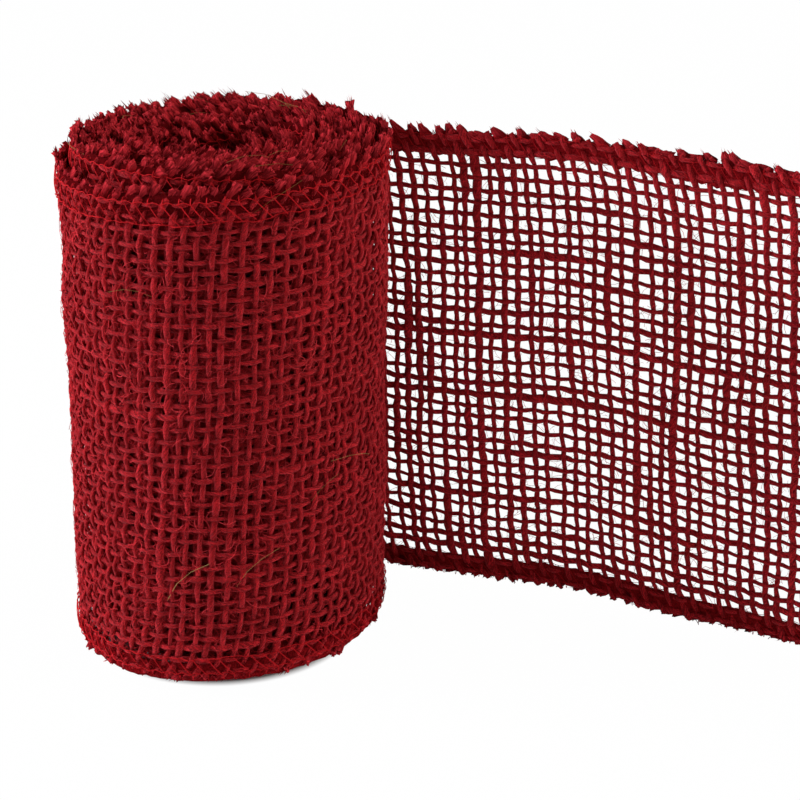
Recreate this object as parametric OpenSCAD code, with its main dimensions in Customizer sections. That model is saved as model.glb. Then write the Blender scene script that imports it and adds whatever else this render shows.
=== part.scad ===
// Roll of open plain-weave jute ribbon standing on end, with its free tail drawn out to one side.
// Frame: the core's axis is Z, the base is z = 0, X runs towards the tail and Y away from the viewer.

/* [Ribbon] */
// Width of the ribbon over both overlocked edges
ribbon_w = 100; // [60:1:160]
// Thickness of the woven cloth
cloth_t = 0.8; // [0.5:0.05:1]
// Width of each overlocked edge
overlock_w = 6; // [3:0.5:10]
// Thickness of the overlocked edges
overlock_t = 1; // [0.8:0.05:1.6]
// Height and depth of the needle thread that runs beside each overlocked edge
thread_t = 0.4; // [0.2:0.05:0.8]

/* [Core] */
// Bore of the paper core
core_bore_d = 17; // [12:0.5:30]
// Wall of the paper core
core_wall = 1.2; // [0.8:0.1:3]
// How far the core's upper end lies below the ribbon's upper edge
core_recess = 12; // [0:0.5:20]
// Height of the tape that holds the ribbon's inner end
tape_h = 60; // [20:1:70]
// Length of that tape round the core
tape_l = 8; // [4:0.5:20]
// Thickness of that tape
tape_t = 0.2; // [0.1:0.05:0.4]
// Film between the core, the tape and the first turn
glue_gap = 0.05; // [0.02:0.01:0.2]

/* [Winding] */
// Whole turns under the outer turn
turns = 12; // [4:1:24]
// Air between one turn and the next
turn_gap = 0.5; // [0.45:0.05:1.5]

/* [Outer turn] */
// Air between the winding and the outer turn
roll_clearance = 0.4; // [0.3:0.05:2]
// Air between the outer turn's beginning and the tail that leaves over it
outer_gap = 0.6; // [0.4:0.05:2]
// Height of the outer turn and the tail above the base
outer_lift = 2.5; // [0:0.1:6]
// Direction from the axis to the point where the tail leaves the roll
leave_angle = 60; // [0:1:120]

/* [Tail] */
// Length of the first stretch, which stays with the outer turn
stretch_1_l = 20; // [14:1:40]
// Turn of the first stretch along its length
stretch_1_bend = 3; // [0:1:20]
// Length of the second stretch
stretch_2_l = 32; // [14:1:60]
// Turn of the second stretch along its length
stretch_2_bend = 2; // [-20:1:20]
// Length of the third stretch
stretch_3_l = 32; // [14:1:60]
// Turn of the third stretch along its length
stretch_3_bend = -6; // [-20:1:20]
// Length of the last stretch, up to the cut end
stretch_4_l = 37; // [14:1:80]
// Turn of the last stretch along its length
stretch_4_bend = -6; // [-20:1:20]
// Clearance round each bend line
bend_clearance = 0.3; // [0.2:0.05:0.6]
// Rows of openings across the tail, a coarse grid for its open weave
mesh_rows = 12; // [1:1:12]
// Width of the bars between these openings
mesh_bar_w = 2.6; // [1:0.1:4]

/* [Hidden] */

kraft = "#a98a62";
tape_white = "#d8d2c0";
cloth_red = "#a3131c";
edge_red = "#8c0f18";
thread_red = "#7a0c14";

wound_steps = 24;   // flats in a turn of the winding
outer_steps = 48;   // flats in the outer turn
tail_steps = 8;     // flats along a stretch of the tail
tape_steps = 6;     // flats round the tape
round_steps = 10;   // flats round the end of a stretch at a bend line
through = 1;        // how far the bore's cutter passes the core's ends

core_r = core_bore_d / 2 + core_wall;
core_h = ribbon_w - core_recess;
tape_r = core_r + glue_gap + tape_t / 2;
tape_angle = tape_l / core_r * 180 / PI;

// The flats of a turn lie inside its corners, so the corners are set out by this share.
function corner_r(clear_r, steps) = clear_r / cos(180 / steps);

wound_pitch = overlock_t + turn_gap;
wound_r = corner_r(core_r + 2 * glue_gap + tape_t, wound_steps) + overlock_t / 2;
wound_outer_r = wound_r + wound_pitch * turns + overlock_t / 2;
outer_pitch = overlock_t + outer_gap;
outer_r = corner_r(wound_outer_r + roll_clearance, outer_steps) + overlock_t / 2;

stretch_l = [stretch_1_l, stretch_2_l, stretch_3_l, stretch_4_l];
stretch_bend = [stretch_1_bend, stretch_2_bend, stretch_3_bend, stretch_4_bend];

// A path is a list of [x, y, heading]. It runs clockwise round the roll, so outside is on its left.
function spiral_slope(r, pitch) = atan(pitch / (2 * PI * r));
function spiral_stop(a, r0, pitch) =
    let (r = r0 + pitch * a / 360, f = leave_angle - a)
    [r * cos(f), r * sin(f), f - 90 + spiral_slope(r, pitch)];
function spiral_path(r0, pitch, count, steps) =
    [for (i = [0 : count * steps]) spiral_stop(360 * i / steps, r0, pitch)];

// Chord of an arc of unit length that turns by b degrees
function chord_share(b) = abs(b) < 0.001 ? 1 : sin(b / 2) / (b / 2 * PI / 180);
function advance(p, l, b) = [
    p[0] + l * chord_share(b) * cos(p[2] + b / 2),
    p[1] + l * chord_share(b) * sin(p[2] + b / 2),
    p[2] + b
];
function arc_path(p, l, b) =
    [for (i = [0 : tail_steps]) advance(p, l * i / tail_steps, b * i / tail_steps)];

// Where stretch k of the tail begins
function stretch_start(k) =
    k == 0 ? spiral_stop(360, outer_r, outer_pitch)
           : advance(stretch_start(k - 1), stretch_l[k - 1], stretch_bend[k - 1]);

wound_path = spiral_path(wound_r, wound_pitch, turns, wound_steps);
outer_path = spiral_path(outer_r, outer_pitch, 1, outer_steps);
stretch_path = [for (k = [0 : 3]) arc_path(stretch_start(k), stretch_l[k], stretch_bend[k])];

function beside(p, d) = [p[0] - d * sin(p[2]), p[1] + d * cos(p[2])];
function at_angle(p, r, a) = [p[0] + r * cos(p[2] + a), p[1] + r * sin(p[2] + a)];
function side(path, d) = [for (p = path) beside(p, d)];
function reverse(list) = [for (i = [len(list) - 1 : -1 : 0]) list[i]];
function inner_stops(path) = [for (i = [1 : len(path) - 2]) path[i]];
function without_first(path) = [for (i = [1 : len(path) - 1]) path[i]];

// Outline of a strip between two distances left of its path
function strip(path, d0, d1) = concat(side(path, d1), reverse(side(path, d0)));

// The end of a stretch is round about the bend line, and the next one is hollowed to clear it.
function round_end(p, r) =
    [for (i = [1 : round_steps - 1]) at_angle(p, r, 90 - 180 * i / round_steps)];
function hollow_start(p, t) =
    let (r = t / 2 + bend_clearance, lip = asin(t / 2 / r))
    [for (i = [0 : round_steps]) at_angle(p, r, lip * (2 * i / round_steps - 1))];
function stretch_outline(k, t) =
    let (path = stretch_path[k],
         sides = k == 0 ? path : without_first(path),
         last = path[tail_steps])
    concat(
        side(sides, t / 2),
        k == 3 ? [] : round_end(last, t / 2),
        reverse(side(sides, -t / 2)),
        k == 0 ? [] : hollow_start(path[0], t)
    );

// The openings of a stretch of the tail: how many columns, and their step along it
mesh_step_z = (ribbon_w - 2 * overlock_w - mesh_bar_w) / mesh_rows;
function mesh_columns(k) = max(1, round((stretch_l[k] - mesh_bar_w) / mesh_step_z));
function mesh_step(k) = (stretch_l[k] - mesh_bar_w) / mesh_columns(k);
function along_stretch(k, l) = advance(stretch_start(k), l, stretch_bend[k] * l / stretch_l[k]);

// Least gap between one turn of the winding and the next, at the corners and half way along the flats
function halfway(list) = [for (i = [0 : len(list) - 2]) (list[i] + list[i + 1]) / 2];
function turn_gaps(out, inn) =
    [for (i = [0 : len(out) - 1 - wound_steps], j = [-1 : 1])
        if (i + wound_steps + j < len(inn)) norm(out[i] - inn[i + wound_steps + j])];
wound_out = side(wound_path, overlock_t / 2);
wound_inn = side(wound_path, -overlock_t / 2);
least_gap = min(concat(turn_gaps(wound_out, wound_inn), turn_gaps(halfway(wound_out), halfway(wound_inn))));
ribbon_l = sum_of([for (i = [1 : len(wound_path) - 1]) flat_l(wound_path, i)])
    + sum_of([for (i = [1 : len(outer_path) - 1]) flat_l(outer_path, i)]) + sum_of(stretch_l);
function flat_l(path, i) = norm([path[i][0] - path[i - 1][0], path[i][1] - path[i - 1][1]]);
function sum_of(list, i = 0) = i == len(list) ? 0 : list[i] + sum_of(list, i + 1);

echo(least_gap_between_turns = least_gap);
echo(ribbon_length = ribbon_l);
echo(outer_turn_radius = outer_r, tail_leaves_at = stretch_start(0));
echo(bend_lines = [for (k = [1 : 3]) stretch_start(k)]);

module band(outline, z0, z1) {
    translate([0, 0, z0])
        linear_extrude(height = z1 - z0)
            polygon(outline);
}

// The three heights of a ribbon whose lower edge is at z
module cloth_band(outline, z) {
    color(cloth_red)
        band(outline, z + overlock_w, z + ribbon_w - overlock_w);
}
module top_edge(outline, z) {
    color(edge_red)
        band(outline, z + ribbon_w - overlock_w, z + ribbon_w);
}
module bottom_edge(outline, z) {
    color(edge_red)
        band(outline, z, z + overlock_w);
}

// Needle threads lie on the outside of the cloth, against the overlocked edges.
module top_thread(path) {
    z = outer_lift + ribbon_w - overlock_w;
    color(thread_red)
        band(strip(inner_stops(path), cloth_t / 2, cloth_t / 2 + thread_t), z - thread_t, z);
}
module bottom_thread(path) {
    z = outer_lift + overlock_w;
    color(thread_red)
        band(strip(inner_stops(path), cloth_t / 2, cloth_t / 2 + thread_t), z, z + thread_t);
}

module core_tube() {
    color(kraft)
        difference() {
            cylinder(h = core_h, r = core_r, $fn = 96);
            translate([0, 0, -through])
                cylinder(h = core_h + 2 * through, d = core_bore_d, $fn = 96);
        }
}

module start_tape() {
    tape_path = [for (i = [0 : tape_steps])
        let (f = leave_angle - tape_angle * i / tape_steps)
        [tape_r * cos(f), tape_r * sin(f), f - 90]];
    color(tape_white)
        band(strip(tape_path, -tape_t / 2, tape_t / 2), (ribbon_w - tape_h) / 2, (ribbon_w + tape_h) / 2);
}

module wound_cloth() {
    cloth_band(strip(wound_path, -cloth_t / 2, cloth_t / 2), 0);
}
module wound_top_overlock() {
    top_edge(strip(wound_path, -overlock_t / 2, overlock_t / 2), 0);
}
module wound_bottom_overlock() {
    bottom_edge(strip(wound_path, -overlock_t / 2, overlock_t / 2), 0);
}

module outer_cloth() {
    cloth_band(strip(outer_path, -cloth_t / 2, cloth_t / 2), outer_lift);
}
module outer_top_overlock() {
    top_edge(strip(outer_path, -overlock_t / 2, overlock_t / 2), outer_lift);
}
module outer_bottom_overlock() {
    bottom_edge(strip(outer_path, -overlock_t / 2, overlock_t / 2), outer_lift);
}
module outer_top_needle_thread() {
    top_thread(outer_path);
}
module outer_bottom_needle_thread() {
    bottom_thread(outer_path);
}

// Cutters for the openings, with a bar round each; they pass the cloth's faces by half its thickness
module mesh_openings(k) {
    for (c = [0 : mesh_columns(k) - 1], r = [0 : mesh_rows - 1]) {
        l = mesh_bar_w + c * mesh_step(k);
        z = outer_lift + overlock_w + mesh_bar_w + r * mesh_step_z;
        ends = [along_stretch(k, l), along_stretch(k, l + mesh_step(k) - mesh_bar_w)];
        band(strip(ends, -cloth_t, cloth_t), z, z + mesh_step_z - mesh_bar_w);
    }
}

// Stretches 1 to 4 of the tail, from the roll to the cut end
module tail_cloth(k) {
    color(cloth_red)
        difference() {
            cloth_band(stretch_outline(k - 1, cloth_t), outer_lift);
            mesh_openings(k - 1);
        }
}
module tail_top_overlock(k) {
    top_edge(stretch_outline(k - 1, overlock_t), outer_lift);
}
module tail_bottom_overlock(k) {
    bottom_edge(stretch_outline(k - 1, overlock_t), outer_lift);
}
module tail_top_needle_thread(k) {
    top_thread(stretch_path[k - 1]);
}
module tail_bottom_needle_thread(k) {
    bottom_thread(stretch_path[k - 1]);
}

core_tube();
start_tape();
wound_cloth();
wound_top_overlock();
wound_bottom_overlock();
outer_cloth();
outer_top_overlock();
outer_bottom_overlock();
outer_top_needle_thread();
outer_bottom_needle_thread();
for (k = [1 : 4]) {
    tail_cloth(k);
    tail_top_overlock(k);
    tail_bottom_overlock(k);
    tail_top_needle_thread(k);
    tail_bottom_needle_thread(k);
}
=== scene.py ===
"""A roll of red jute ribbon that stands on end, with its tail drawn out to the right.

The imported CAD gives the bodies, the joints and the paper core. This script weaves the ribbon round them: each
yarn of the outer turn and the tail, the overlock threads on both edges, and the fringe of cut weft ends.
The ribbon is first laid out flat, in millimetres: x along it, y up from its lower edge, z off its outer face.
A tree then lays the flat ribbon along a path, in metres in the CAD's frame.
"""

import math

import bpy
from mathutils import Matrix, Vector


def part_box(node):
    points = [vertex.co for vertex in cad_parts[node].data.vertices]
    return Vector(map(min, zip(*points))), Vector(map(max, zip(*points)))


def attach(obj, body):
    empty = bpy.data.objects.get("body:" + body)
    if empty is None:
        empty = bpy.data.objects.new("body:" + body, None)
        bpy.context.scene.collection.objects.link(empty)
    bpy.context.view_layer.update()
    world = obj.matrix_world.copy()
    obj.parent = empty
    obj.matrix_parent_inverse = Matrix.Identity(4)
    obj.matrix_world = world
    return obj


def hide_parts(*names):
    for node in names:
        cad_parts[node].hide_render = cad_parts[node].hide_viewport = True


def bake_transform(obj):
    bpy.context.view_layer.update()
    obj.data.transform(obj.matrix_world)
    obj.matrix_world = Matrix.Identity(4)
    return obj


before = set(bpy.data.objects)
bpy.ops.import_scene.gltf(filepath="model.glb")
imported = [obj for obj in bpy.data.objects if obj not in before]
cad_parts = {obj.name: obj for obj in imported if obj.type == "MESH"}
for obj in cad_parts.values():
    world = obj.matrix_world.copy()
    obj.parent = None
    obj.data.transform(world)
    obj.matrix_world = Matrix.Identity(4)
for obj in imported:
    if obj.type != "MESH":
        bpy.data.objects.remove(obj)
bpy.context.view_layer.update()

MM = 0.001

# Heights of the ribbon in the CAD, in millimetres
LOWER_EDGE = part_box("outer_bottom_overlock")[0].z / MM
RIBBON_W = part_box("outer_top_overlock")[1].z / MM - LOWER_EDGE
OVERLOCK_W = RIBBON_W + LOWER_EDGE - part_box("outer_top_overlock")[0].z / MM

# The winding and the outer turn are spirals of the cloth's middle, clockwise from the angle where the tail
# leaves. From here on lengths are in millimetres, and angles in degrees where no other unit is named.
LEAVE_ANGLE = 60.0
WOUND_TURNS = 12
WOUND_PITCH = 1.5
WOUND_START_R = 10.59
OUTER_PITCH = 1.6
OUTER_START_R = 30.05
# The tail's stretches between its bend lines: length, and how far it turns to the left
TAIL = ((20, 3), (32, 2), (32, -6), (37, -6))
# Each bend is spread over this much cloth on both sides of its line
BLEND = 10.0
# The outer turn's cloth goes on this far past the place where the tail leaves
PAST_LEAVE = 4.0
# Spare path at both ends of the outer strip and of the winding, because the wefts lean past a ribbon's ends
LEAD = 16.0
LEAD_ANGLE = LEAD / OUTER_START_R * 180 / math.pi
WINDING_LEAD_ANGLE = 20.0
# The outer turn sits aslant: its lower edge is on the floor at the left, and twice this high at the right
SLANT = 2.5
# The winding stands off the floor: at the core, from a share of its turns on, and how much more at the front
WOUND_LIFT = (1.6, 3.4)
LIFTED_SHARE = 0.4
FRONT_LIFT = 1.6
# Two waves make its turns uneven: height at the core, what the last turn has less, waves per turn, and phase
WOUND_WAVES = ((1.1, 0.5, 0.55, 0.0), (0.7, 0.4, 2.17, 1.0))
# Above the core its turns lean in: the innermost by this angle in radians, and none past a share of the turns
INWARD_LEAN = 0.35
LEANING_SHARE = 0.5
# The tail's lower edge sways: place along the tail, height
TAIL_SWAY = ((22.0, 1.2), (58.0, 3.1), (90.0, 1.8), (140.0, 1.6))

# The weave: an open plain weave with about ten yarns to the inch
CLOTH = dict(weft_pitch=2.72, warp_pitch=2.56, warps=38, width=RIBBON_W, lean=3.0, edge_lean=4.5, seed=7.3)
# Yarn radii, and how much thicker the stoutest yarn is: the tail happens to have stouter yarns than the roll
ROLL_YARNS = dict(weft_radius=0.535, warp_radius=0.465, stoutest=1.25)
WOUND_YARNS = dict(weft_radius=0.57, warp_radius=0.5, stoutest=1.22)
TAIL_YARNS = dict(weft_radius=0.57, warp_radius=0.5, stoutest=1.6)
# At the tail's cut end the warps stick out by up to this much
WARP_END = 5.0
# Hairs on the cloth between its overlocked edges: on the roll, in the openings and on top of the yarns
HAIRS = dict(low=OVERLOCK_W, high=RIBBON_W - OVERLOCK_W, shortest=0.7, longest=5.0)
ROLL_HAIRS = dict(
    loose_fibres=HAIRS | dict(per_mm2=0.44, thickness=0.02, off_from=-1.5, off_to=0.6),
    surface_hairs=HAIRS | dict(per_mm2=0.36, thickness=0.023, off_from=0.2, off_to=0.8, longest=3.6, seed=77),
)
TAIL_HAIRS = dict(loose_fibres=HAIRS | dict(per_mm2=0.3, thickness=0.017))

# The overlock: length of a stitch, how far a slanted thread runs along, how far the chain line and the loops
# stay inside the edge, the thread's radius, and the rings along each stitch
STITCH = 2.75
SLANT_ALONG = 3.0
CHAIN_INSET = 2.4
EDGE_INSET = 0.8
THREAD_RADIUS = 0.095
RINGS_PER_STITCH = 4.0
# The felted edge under it: a strip of felt, and a band of short fibres, close together
FELT = dict(thickness=0.4, rows=4, steps_per_mm=1.0)
BAND = dict(shortest=1.5, longest=4.5, off_from=-0.6, off_to=0.5, thickness=0.03, pale=0.0)
# Tufts of the fringe, one to each weft: how far they reach up and back along the edge, the least and most
# share of that height, how many wefts wide their fibres stand at root and tip, how far single tips flare,
# the body's width at both ends, how ragged its end is, and the number of fibres that stand out of it.
# On the roll they are spread like a brush. On the tail they are matted down to low teeth, lowest below.
BRUSH_TUFT = dict(
    reach_up=3.1,
    reach_along=2.6,
    lowest=0.6,
    highest=1.2,
    root_share=0.35,
    tip_share=0.75,
    flare=0.3,
    root_width=1.2,
    tip_width=2.2,
    splay=2.6,
    fibres=14,
)
MATTED_TUFT = dict(
    reach_up=2.635,
    reach_along=2.6,
    lowest=0.2,
    highest=1.1,
    root_share=0.9,
    tip_share=0.5,
    flare=0.15,
    root_width=2.8,
    tip_width=1.2,
    splay=1.2,
    fibres=8,
)
PRESSED_TUFT = MATTED_TUFT | dict(reach_up=1.085, fibres=2)

# Kinds of node that the trees below use most
MATH = "ShaderNodeMath"
VECTOR = "ShaderNodeVectorMath"
COMBINE = "ShaderNodeCombineXYZ"
SEPARATE = "ShaderNodeSeparateXYZ"
MAP_RANGE = "ShaderNodeMapRange"
NOISE = "ShaderNodeTexNoise"
WHITE = "ShaderNodeTexWhiteNoise"
MIX = "ShaderNodeMix"
POSITION = "GeometryNodeInputPosition"
SET_POSITION = "GeometryNodeSetPosition"
STORE = "GeometryNodeStoreNamedAttribute"
STORED = "GeometryNodeInputNamedAttribute"
ON_POINTS = "GeometryNodeInstanceOnPoints"
REALIZE = "GeometryNodeRealizeInstances"
TO_MESH = "GeometryNodeCurveToMesh"
GROUP = "GeometryNodeGroup"
RANDOM = "FunctionNodeRandomValue"
CURVE_LINE = "GeometryNodeCurvePrimitiveLine"
BEZIER = "GeometryNodeCurvePrimitiveBezierSegment"
CIRCLE = "GeometryNodeCurvePrimitiveCircle"
MESH_LINE = "GeometryNodeMeshLine"
RESAMPLE = "GeometryNodeResampleCurve"
ON_SPLINE = "GeometryNodeSplineParameter"
ALIGN = "FunctionNodeAlignRotationToVector"
SCATTER = "GeometryNodeDistributePointsOnFaces"
JOIN = "GeometryNodeJoinGeometry"
ATTRIBUTE = "ShaderNodeAttribute"
TEXTURE_PLACE = "ShaderNodeTexCoord"


def add(tree, kind, *values, named=None, out=0, **settings):
    """Adds a node, fills its inputs in order and by name, and returns one of its outputs, or the node."""
    node = tree.nodes.new(kind)
    for setting, value in settings.items():
        setattr(node, setting, value)
    inputs = [s for s in node.inputs if s.enabled]
    fills = list(zip(inputs, values))
    fills += [(next(s for s in inputs if s.name == name), value) for name, value in (named or {}).items()]
    for socket, value in fills:
        if isinstance(value, list):
            for source in value:
                tree.links.new(source, socket)
        elif isinstance(value, bpy.types.NodeSocket):
            tree.links.new(value, socket)
        elif value is not None:
            socket.default_value = value
    if out is None:
        return node
    outputs = [s for s in node.outputs if s.enabled]
    return outputs[out] if isinstance(out, int) else next(s for s in outputs if s.name == out)


def new_tree(name, output="Geometry", **inputs):
    """An empty tree. An input is a number, which is its default, or the name of another kind of socket."""
    tree = bpy.data.node_groups.new(name, "GeometryNodeTree")
    for label, value in inputs.items():
        kind = value if isinstance(value, str) else type(value).__name__.capitalize()
        socket = tree.interface.new_socket(label, in_out="INPUT", socket_type="NodeSocket" + kind)
        if not isinstance(value, str):
            socket.default_value = value
    tree.interface.new_socket("Result", in_out="OUTPUT", socket_type="NodeSocket" + output)
    source = tree.nodes.new("NodeGroupInput")
    return tree, {s.name: s for s in source.outputs if s.name}


def finish_tree(tree, geometry, material):
    """Ends a tree as a plain, smooth, painted mesh."""
    geometry = add(tree, REALIZE, geometry)
    geometry = add(tree, "GeometryNodeSetShadeSmooth", geometry)
    geometry = add(tree, "GeometryNodeSetMaterial", geometry, None, material)
    add(tree, "NodeGroupOutput", geometry, out=None)
    return tree


# Trees that the others share. In these functions t is the tree, and i holds its inputs by name.


def wander(tree, place, scale, reach, dimensions="1D", detail=1.0):
    """A slow random shift of up to about reach, either way: a noise keeps mostly to its middle half."""
    noise = add(tree, NOISE, place, named={"Scale": scale, "Detail": detail}, noise_dimensions=dimensions)
    return add(tree, MAP_RANGE, noise, 0.25, 0.75, -reach, reach, clamp=False)


def settle_tree():
    """Turns a place in the weave (weft number, warp number, mm off) into a place on the flat ribbon (mm).

    Loose jute cloth is uneven: its yarns wander at unequal distances, and its wefts lean back at both edges.
    """
    t, i = new_tree("settle_yarns", "Vector", place="Vector", **CLOTH)
    weft, warp, off = add(t, SEPARATE, i["place"], out=None).outputs

    # How the yarns drift: steps in the noise to each weft and warp, offset in it, and reach in yarn spacings
    weft_drifts = ((0.73, 0.0, 3.1, 0.13), (0.83, 0.13, 21.7, 0.09), (0.07, 0.06, 40.3, 0.3))
    warp_drifts = ((0.0, 0.73, 57.9, 0.09), (0.11, 0.83, 71.3, 0.09), (0.05, 0.07, 95.9, 0.2))
    drifted = []
    for number, drifts in ((weft, weft_drifts), (warp, warp_drifts)):
        for weft_step, warp_step, offset, reach in drifts:
            x = add(t, MATH, weft, weft_step, offset, operation="MULTIPLY_ADD")
            y = add(t, MATH, warp, warp_step, i["seed"], operation="MULTIPLY_ADD")
            shift = wander(t, add(t, COMBINE, x, y), 1.0, reach, "2D")
            number = add(t, MATH, number, shift, operation="ADD")
        drifted.append(number)
    along, up = drifted

    last_warp = add(t, MATH, i["warps"], 1.0, operation="SUBTRACT")
    up = add(t, MATH, up, add(t, MATH, last_warp, 0.5, operation="MULTIPLY"), operation="SUBTRACT")
    from_middle = add(t, MATH, up, i["warp_pitch"], operation="MULTIPLY")
    half = add(t, MATH, i["width"], 0.5, operation="MULTIPLY")
    share = add(t, MATH, from_middle, half, operation="DIVIDE")
    lean = add(t, MATH, share, i["lean"], operation="MULTIPLY")
    # A high power leaves edge_lean to the last few millimetres
    close_to_edge = add(t, MATH, share, 11.0, operation="POWER")
    lean = add(t, MATH, close_to_edge, i["edge_lean"], lean, operation="MULTIPLY_ADD")
    along = add(t, MATH, along, i["weft_pitch"], operation="MULTIPLY")
    along = add(t, MATH, along, lean, operation="SUBTRACT")
    height = add(t, MATH, from_middle, half, operation="ADD")
    add(t, "NodeGroupOutput", add(t, COMBINE, along, height, off), out=None)
    return t


def lay_tree():
    """Lays a flat piece of ribbon, in mm, along a path, with the slow ripples of limp cloth.

    The path's tilt is the angle by which the ribbon leans inwards where nothing holds it.
    """
    t, i = new_tree("lay_on_path", flat="Geometry", path="Geometry", ripple=0.35, held_height=87.0)
    flat = add(t, POSITION)
    along, height, off = add(t, SEPARATE, flat, out=None).outputs
    off = add(t, MATH, wander(t, flat, 0.045, 1.0, "2D"), i["ripple"], off, operation="MULTIPLY_ADD")
    length = add(t, MATH, along, MM, operation="MULTIPLY")
    tilt = add(t, "GeometryNodeInputCurveTilt")
    at = add(t, "GeometryNodeSampleCurve", i["path"], tilt, length, mode="LENGTH", out=None)
    free = add(t, MATH, height, i["held_height"], operation="SUBTRACT")
    free = add(t, MATH, free, 0.0, operation="MAXIMUM")
    inward = add(t, MATH, free, at.outputs["Value"], operation="MULTIPLY")
    off = add(t, MATH, off, inward, operation="SUBTRACT")
    off = add(t, MATH, off, MM, operation="MULTIPLY")
    outward = add(t, VECTOR, (0, 0, 1), at.outputs["Tangent"], operation="CROSS_PRODUCT")
    outward = add(t, VECTOR, outward, operation="NORMALIZE")
    aside = add(t, VECTOR, outward, named={"Scale": off}, operation="SCALE")
    upward = add(t, COMBINE, None, None, add(t, MATH, height, MM, operation="MULTIPLY"))
    place = add(t, VECTOR, at.outputs["Position"], aside, operation="ADD")
    place = add(t, VECTOR, place, upward, operation="ADD")
    add(t, "NodeGroupOutput", add(t, SET_POSITION, i["flat"], None, place), out=None)
    return t


SETTLE = settle_tree()
LAY = lay_tree()


def settled(tree, inputs, place):
    """The place on the flat ribbon of a place in the weave."""
    return add(tree, GROUP, place, *(inputs[size] for size in CLOTH), node_tree=SETTLE)


def patch_middle(tree, inputs):
    """The middle of the patch of flat ribbon from start to end and from low to high."""
    middles = []
    for first, last in (("start", "end"), ("low", "high")):
        both = add(tree, MATH, inputs[first], inputs[last], operation="ADD")
        middles.append(add(tree, MATH, both, 0.5, operation="MULTIPLY"))
    return add(tree, COMBINE, *middles)


def on_tube(tree, turn, down):
    """A place on a tube of unit radius: an angle round it and a distance down it."""
    cosine = add(tree, MATH, turn, operation="COSINE")
    sine = add(tree, MATH, turn, operation="SINE")
    return add(tree, COMBINE, cosine, sine, down)


def lumps(tree, scale, detail, reach):
    """A shift of each point of a surface that makes it lumpy."""
    noise = add(tree, NOISE, add(tree, POSITION), named={"Scale": scale, "Detail": detail}, out="Color")
    shift = add(tree, VECTOR, noise, (0.5, 0.5, 0.5), operation="SUBTRACT")
    return add(tree, VECTOR, shift, named={"Scale": reach}, operation="SCALE")


def tubes(tree, curves, sides, radius, twist_mm, squeeze=1.0, rough=0.0):
    """Makes strands of flat curves that hold along (mm) and strand (a number).

    squeeze flattens a strand in the cloth and rough makes it lumpy. fibre holds a place in twisted fibre
    space, so that a noise there draws streaks that wind along the strand.
    """
    curves = add(tree, STORE, curves, None, "middle", add(tree, SEPARATE, add(tree, POSITION), out=2))
    ring = add(tree, CIRCLE, sides, named={"Radius": 1.0}, mode="RADIUS")
    ring = add(tree, STORE, ring, None, "around", add(tree, ON_SPLINE, out="Factor"))
    mesh = add(tree, TO_MESH, curves, ring, radius, True)
    off = add(tree, SEPARATE, add(tree, POSITION), out=2)
    off = add(tree, MATH, off, add(tree, STORED, "middle"), operation="SUBTRACT")
    flatter = add(tree, COMBINE, None, None, add(tree, MATH, off, squeeze - 1.0, operation="MULTIPLY"))
    shift = add(tree, VECTOR, flatter, lumps(tree, 1.1, 1.0, rough), operation="ADD")
    mesh = add(tree, SET_POSITION, mesh, None, None, shift)

    along = add(tree, STORED, "along")
    own_number = add(tree, MATH, add(tree, STORED, "strand"), 1.37, 5.1, operation="MULTIPLY_ADD")
    tone = add(tree, WHITE, own_number, noise_dimensions="1D")
    turn = add(tree, MATH, along, 2 * math.pi / twist_mm, operation="MULTIPLY")
    turn = add(tree, MATH, add(tree, STORED, "around"), 2 * math.pi, turn, operation="MULTIPLY_ADD")
    # Strands of different tones lie far apart in fibre space
    down = add(tree, MATH, along, 0.2, operation="MULTIPLY")
    down = add(tree, MATH, tone, 90.0, down, operation="MULTIPLY_ADD")
    mesh = add(tree, STORE, mesh, None, "fibre", on_tube(tree, turn, down), data_type="FLOAT_VECTOR")
    mesh = add(tree, STORE, mesh, None, "tone", tone)
    for spent in ("around", "along", "strand", "middle"):
        mesh = add(tree, "GeometryNodeRemoveAttribute", mesh, None, spent)
    return mesh


# The trees that make the ribbon's pieces


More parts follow.
